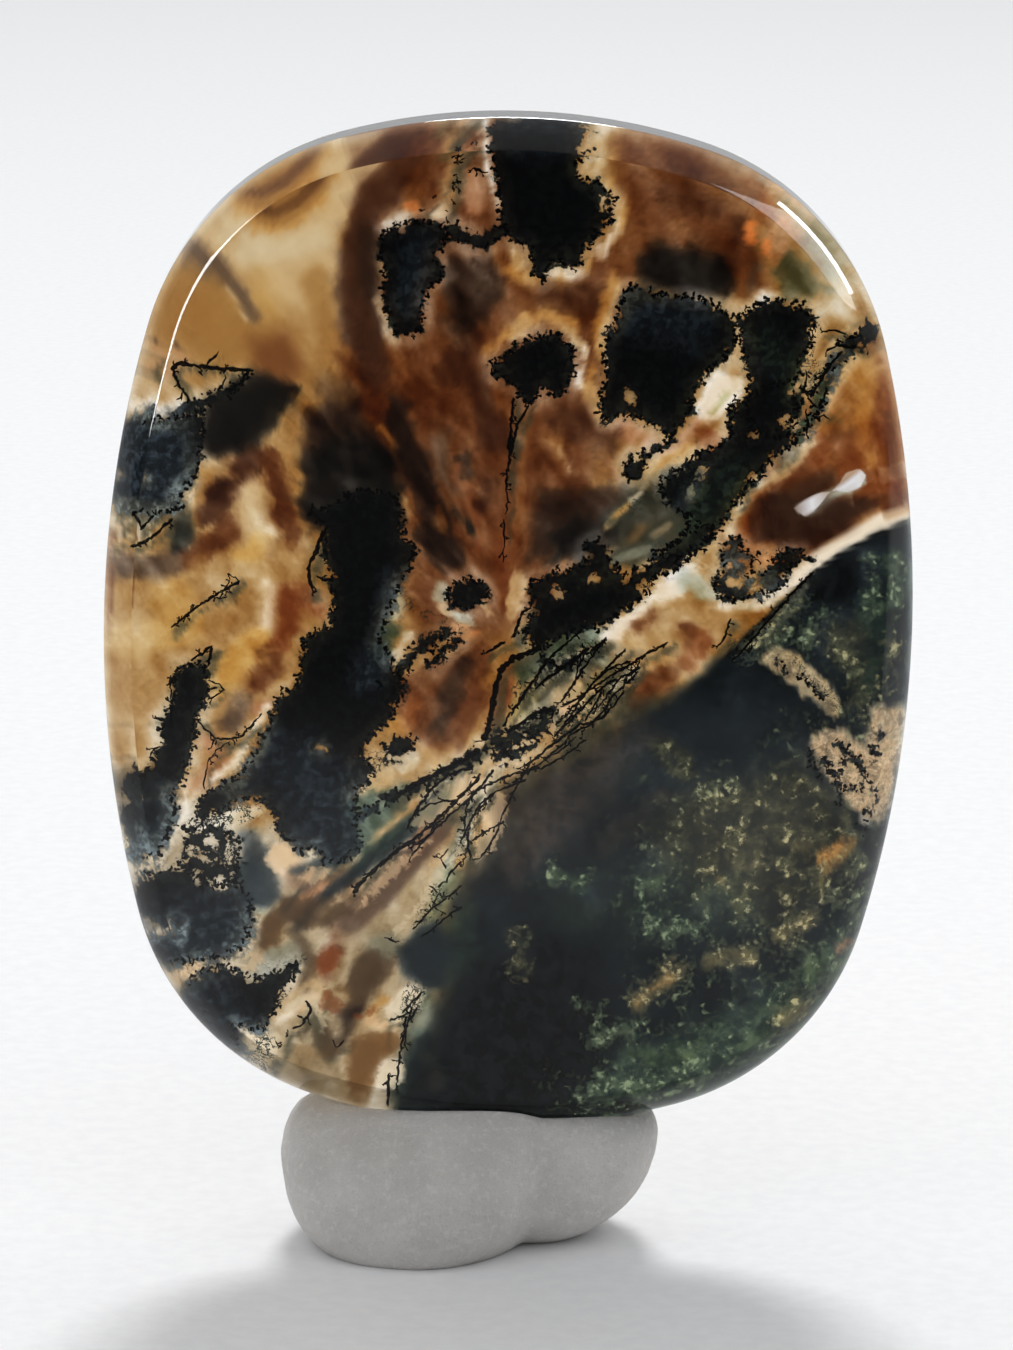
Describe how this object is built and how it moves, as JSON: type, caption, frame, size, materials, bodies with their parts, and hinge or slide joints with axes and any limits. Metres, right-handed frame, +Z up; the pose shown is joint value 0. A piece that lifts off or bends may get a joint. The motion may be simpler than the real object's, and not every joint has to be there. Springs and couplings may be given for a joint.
{
  "type": "moss agate cabochon",
  "caption": "Polished moss agate cabochon, a tall cushion-shaped see-through slab, stood on edge in a pinched lump of grey putty.",
  "frame": {"origin": "on the surface the putty stands on, below the middle of the stone", "axes": "+Z up along the stone's height, -Y out of the stone's domed face, +X to the right of that face"},
  "size_m": [0.0316, 0.0122, 0.0447],
  "materials": {
    "agate": "glossy polish, see-through brown and clear chalcedony with dark green moss",
    "putty": "matte, finely dimpled grey putty"
  },
  "bodies": {
    "root": {"cabochon": "agate", "putty_rest": "putty"}
  },
  "joints": []
}
